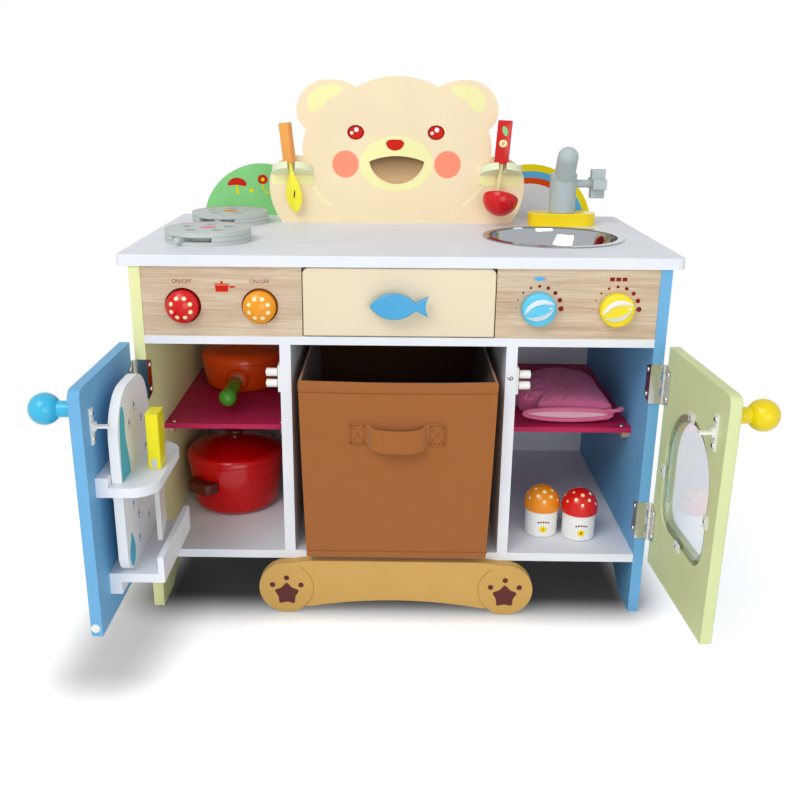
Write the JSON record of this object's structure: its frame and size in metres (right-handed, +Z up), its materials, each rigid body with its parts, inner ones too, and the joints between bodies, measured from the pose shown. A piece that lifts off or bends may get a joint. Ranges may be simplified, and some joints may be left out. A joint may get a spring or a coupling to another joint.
{
  "type": "play kitchen",
  "caption": "Child's wooden play kitchen: cabinet with two hinged doors, drawer, storage bin, hobs, sink with tap, animal-shaped splashboard and play cookware.",
  "frame": {"origin": "on the floor under the middle of the whole toy, doors standing open", "axes": "+X to the right seen from the front, +Y from the front to the back, +Z up"},
  "size_m": [0.7014, 0.51, 0.602],
  "materials": {
    "white_paint": "satin",
    "pale_yellow_paint": "satin",
    "sky_blue_paint": "satin",
    "pale_green_paint": "satin",
    "bare_wood": "satin",
    "cream_paint": "satin",
    "fish_blue": "gloss",
    "knob_blue": "gloss",
    "knob_yellow": "gloss",
    "plinth_tan": "satin",
    "bear_cream": "satin",
    "hill_green": "satin",
    "rainbow_yellow": "satin",
    "hob_grey": "satin",
    "disc_pink": "satin",
    "disc_orange": "satin",
    "tap_grey": "gloss",
    "tap_yellow": "gloss",
    "shelf_pink": "satin",
    "sink_metal": "brushed",
    "button_red": "gloss",
    "button_orange": "gloss",
    "spring_steel": "plain",
    "dial_blue": "gloss",
    "dial_yellow": "gloss",
    "hinge_steel": "plated",
    "clear_plastic": "clear",
    "white_plastic": "gloss",
    "holder_green": "satin",
    "board_white": "satin",
    "knife_yellow": "gloss",
    "bin_fabric": "woven",
    "pan_orange": "gloss",
    "pot_red": "gloss",
    "mitt_cloth": "quilted",
    "shaker_orange": "gloss",
    "shaker_red": "gloss",
    "spatula_orange": "gloss",
    "ladle_red": "gloss"
  },
  "bodies": {
    "cabinet": {"worktop": "white_paint", "side_panel_left": "pale_yellow_paint", "side_panel_right": "sky_blue_paint", "floor_panel": "white_paint", "mid_panel": "white_paint", "dividers": "white_paint", "back_panel": "white_paint", "drawer_bay_walls": "white_paint", "range_panel": "bare_wood", "oven_panel": "bare_wood", "shelves": "shelf_pink", "shelf_cleats": "bare_wood", "plinth_board": "plinth_tan", "bear_backboard": "bear_cream", "utensil_holders": "holder_green", "hill_panel": "hill_green", "rainbow_panel": "rainbow_yellow", "sink_bowl": "sink_metal", "faucet_base": "tap_yellow", "hob_housings": "hob_grey", "button_guides": "bare_wood", "button_spring_red": "spring_steel", "button_spring_orange": "spring_steel", "hinges_fixed": "hinge_steel", "roller_catches": "white_plastic"},
    "left_door": {"door_left": "sky_blue_paint", "knob_left": "knob_blue", "hinge_leaves_left": "hinge_steel", "strike_left": "white_plastic", "rack_upper": "white_paint", "rack_lower": "white_paint"},
    "cutting_board": {"cutting_board": "board_white"},
    "knife": {"knife": "knife_yellow"},
    "right_door": {"door_right": "pale_green_paint", "window_pane": "clear_plastic", "window_tabs": "white_plastic", "knob_right": "knob_yellow", "hinge_leaves_right": "hinge_steel", "strike_right": "white_plastic"},
    "drawer": {"drawer_front": "cream_paint", "drawer_box": "bare_wood", "fish_handle": "fish_blue"},
    "storage_bin": {"storage_bin": "bin_fabric"},
    "red_button": {"button_red": "button_red"},
    "orange_button": {"button_orange": "button_orange"},
    "blue_dial": {"dial_blue": "dial_blue"},
    "yellow_dial": {"dial_yellow": "dial_yellow"},
    "faucet": {"faucet_body": "tap_grey"},
    "tap_handle": {"tap_handle": "tap_grey"},
    "front_hob_disc": {"hob_disc_front": "disc_pink"},
    "rear_hob_disc": {"hob_disc_rear": "disc_orange"},
    "saucepan": {"saucepan": "pan_orange"},
    "saucepan_lid": {"saucepan_lid": "pan_orange"},
    "stew_pot": {"stew_pot": "pot_red"},
    "stew_pot_lid": {"stew_pot_lid": "pot_red"},
    "oven_mitt": {"oven_mitt": "mitt_cloth"},
    "pepper_shaker": {"pepper_shaker": "shaker_orange"},
    "salt_shaker": {"salt_shaker": "shaker_red"},
    "spatula": {"spatula": "spatula_orange"},
    "ladle": {"ladle": "ladle_red"}
  },
  "joints": [
    {"name": "left_door_hinge", "type": "hinge", "parent": "cabinet", "child": "left_door", "pos_m": [-0.2885, -0.083, 0.2], "axis": [0, 0, -1], "range_deg": [-90, 90]},
    {"name": "right_door_hinge", "type": "hinge", "parent": "cabinet", "child": "right_door", "pos_m": [0.2885, -0.083, 0.2], "axis": [0, 0, 1], "range_deg": [-92.5, 87.5]},
    {"name": "drawer_slide", "type": "slide", "parent": "cabinet", "child": "drawer", "axis": [0, -1, 0], "range_m": [0, 0.15]},
    {"name": "bin_slide", "type": "slide", "parent": "cabinet", "child": "storage_bin", "axis": [0, -1, 0], "range_m": [0, 0.2]},
    {"name": "red_button_press", "type": "slide", "parent": "cabinet", "child": "red_button", "axis": [0, 1, 0], "range_m": [0, 0.004], "stiffness_N_per_m": 300, "springref_m": -0.002, "deforming": ["button_spring_red"]},
    {"name": "orange_button_press", "type": "slide", "parent": "cabinet", "child": "orange_button", "axis": [0, 1, 0], "range_m": [0, 0.004], "stiffness_N_per_m": 300, "springref_m": -0.002, "deforming": ["button_spring_orange"]},
    {"name": "blue_dial_turn", "type": "hinge", "parent": "cabinet", "child": "blue_dial", "pos_m": [0.1485, -0.08, 0.365], "axis": [0, 1, 0], "continuous": true},
    {"name": "yellow_dial_turn", "type": "hinge", "parent": "cabinet", "child": "yellow_dial", "pos_m": [0.231, -0.08, 0.365], "axis": [0, 1, 0], "continuous": true},
    {"name": "faucet_swivel", "type": "hinge", "parent": "cabinet", "child": "faucet", "pos_m": [0.211, 0.17, 0.42], "axis": [0, 0, 1], "range_deg": [-50, 50]},
    {"name": "tap_handle_turn", "type": "hinge", "parent": "faucet", "child": "tap_handle", "pos_m": [0.211, 0.17, 0.4723], "axis": [1, 0, 0], "continuous": true},
    {"name": "front_hob_lever", "type": "hinge", "parent": "cabinet", "child": "front_hob_disc", "pos_m": [-0.219, 0.017, 0.42], "axis": [0, 0, 1], "range_deg": [-7, 37]},
    {"name": "rear_hob_lever", "type": "hinge", "parent": "cabinet", "child": "rear_hob_disc", "pos_m": [-0.219, 0.169, 0.42], "axis": [0, 0, 1], "range_deg": [-26, 18]},
    {"name": "saucepan_pull_out", "type": "slide", "parent": "cabinet", "child": "saucepan", "axis": [0, -1, 0], "range_m": [0, 0.12]},
    {"name": "saucepan_lid_lift", "type": "slide", "parent": "saucepan", "child": "saucepan_lid", "axis": [0, 0, 1], "range_m": [0, 0.04]},
    {"name": "stew_pot_pull_out", "type": "slide", "parent": "cabinet", "child": "stew_pot", "axis": [0, -1, 0], "range_m": [0, 0.07]},
    {"name": "stew_pot_lid_lift", "type": "slide", "parent": "stew_pot", "child": "stew_pot_lid", "axis": [0, 0, 1], "range_m": [0, 0.015]},
    {"name": "oven_mitt_pull_out", "type": "slide", "parent": "cabinet", "child": "oven_mitt", "axis": [0, -1, 0], "range_m": [0, 0.1]},
    {"name": "pepper_shaker_lift", "type": "slide", "parent": "cabinet", "child": "pepper_shaker", "axis": [0, 0, 1], "range_m": [0, 0.04]},
    {"name": "salt_shaker_lift", "type": "slide", "parent": "cabinet", "child": "salt_shaker", "axis": [0, 0, 1], "range_m": [0, 0.04]},
    {"name": "spatula_pull_out", "type": "slide", "parent": "cabinet", "child": "spatula", "axis": [0, -1, 0], "range_m": [0, 0.04]},
    {"name": "ladle_pull_out", "type": "slide", "parent": "cabinet", "child": "ladle", "axis": [0, -1, 0], "range_m": [0, 0.04]},
    {"name": "cutting_board_lift", "type": "slide", "parent": "left_door", "child": "cutting_board", "axis": [0, 0, 1], "range_m": [0, 0.15]},
    {"name": "knife_lift", "type": "slide", "parent": "left_door", "child": "knife", "axis": [0, 0, 1], "range_m": [0, 0.1]}
  ]
}
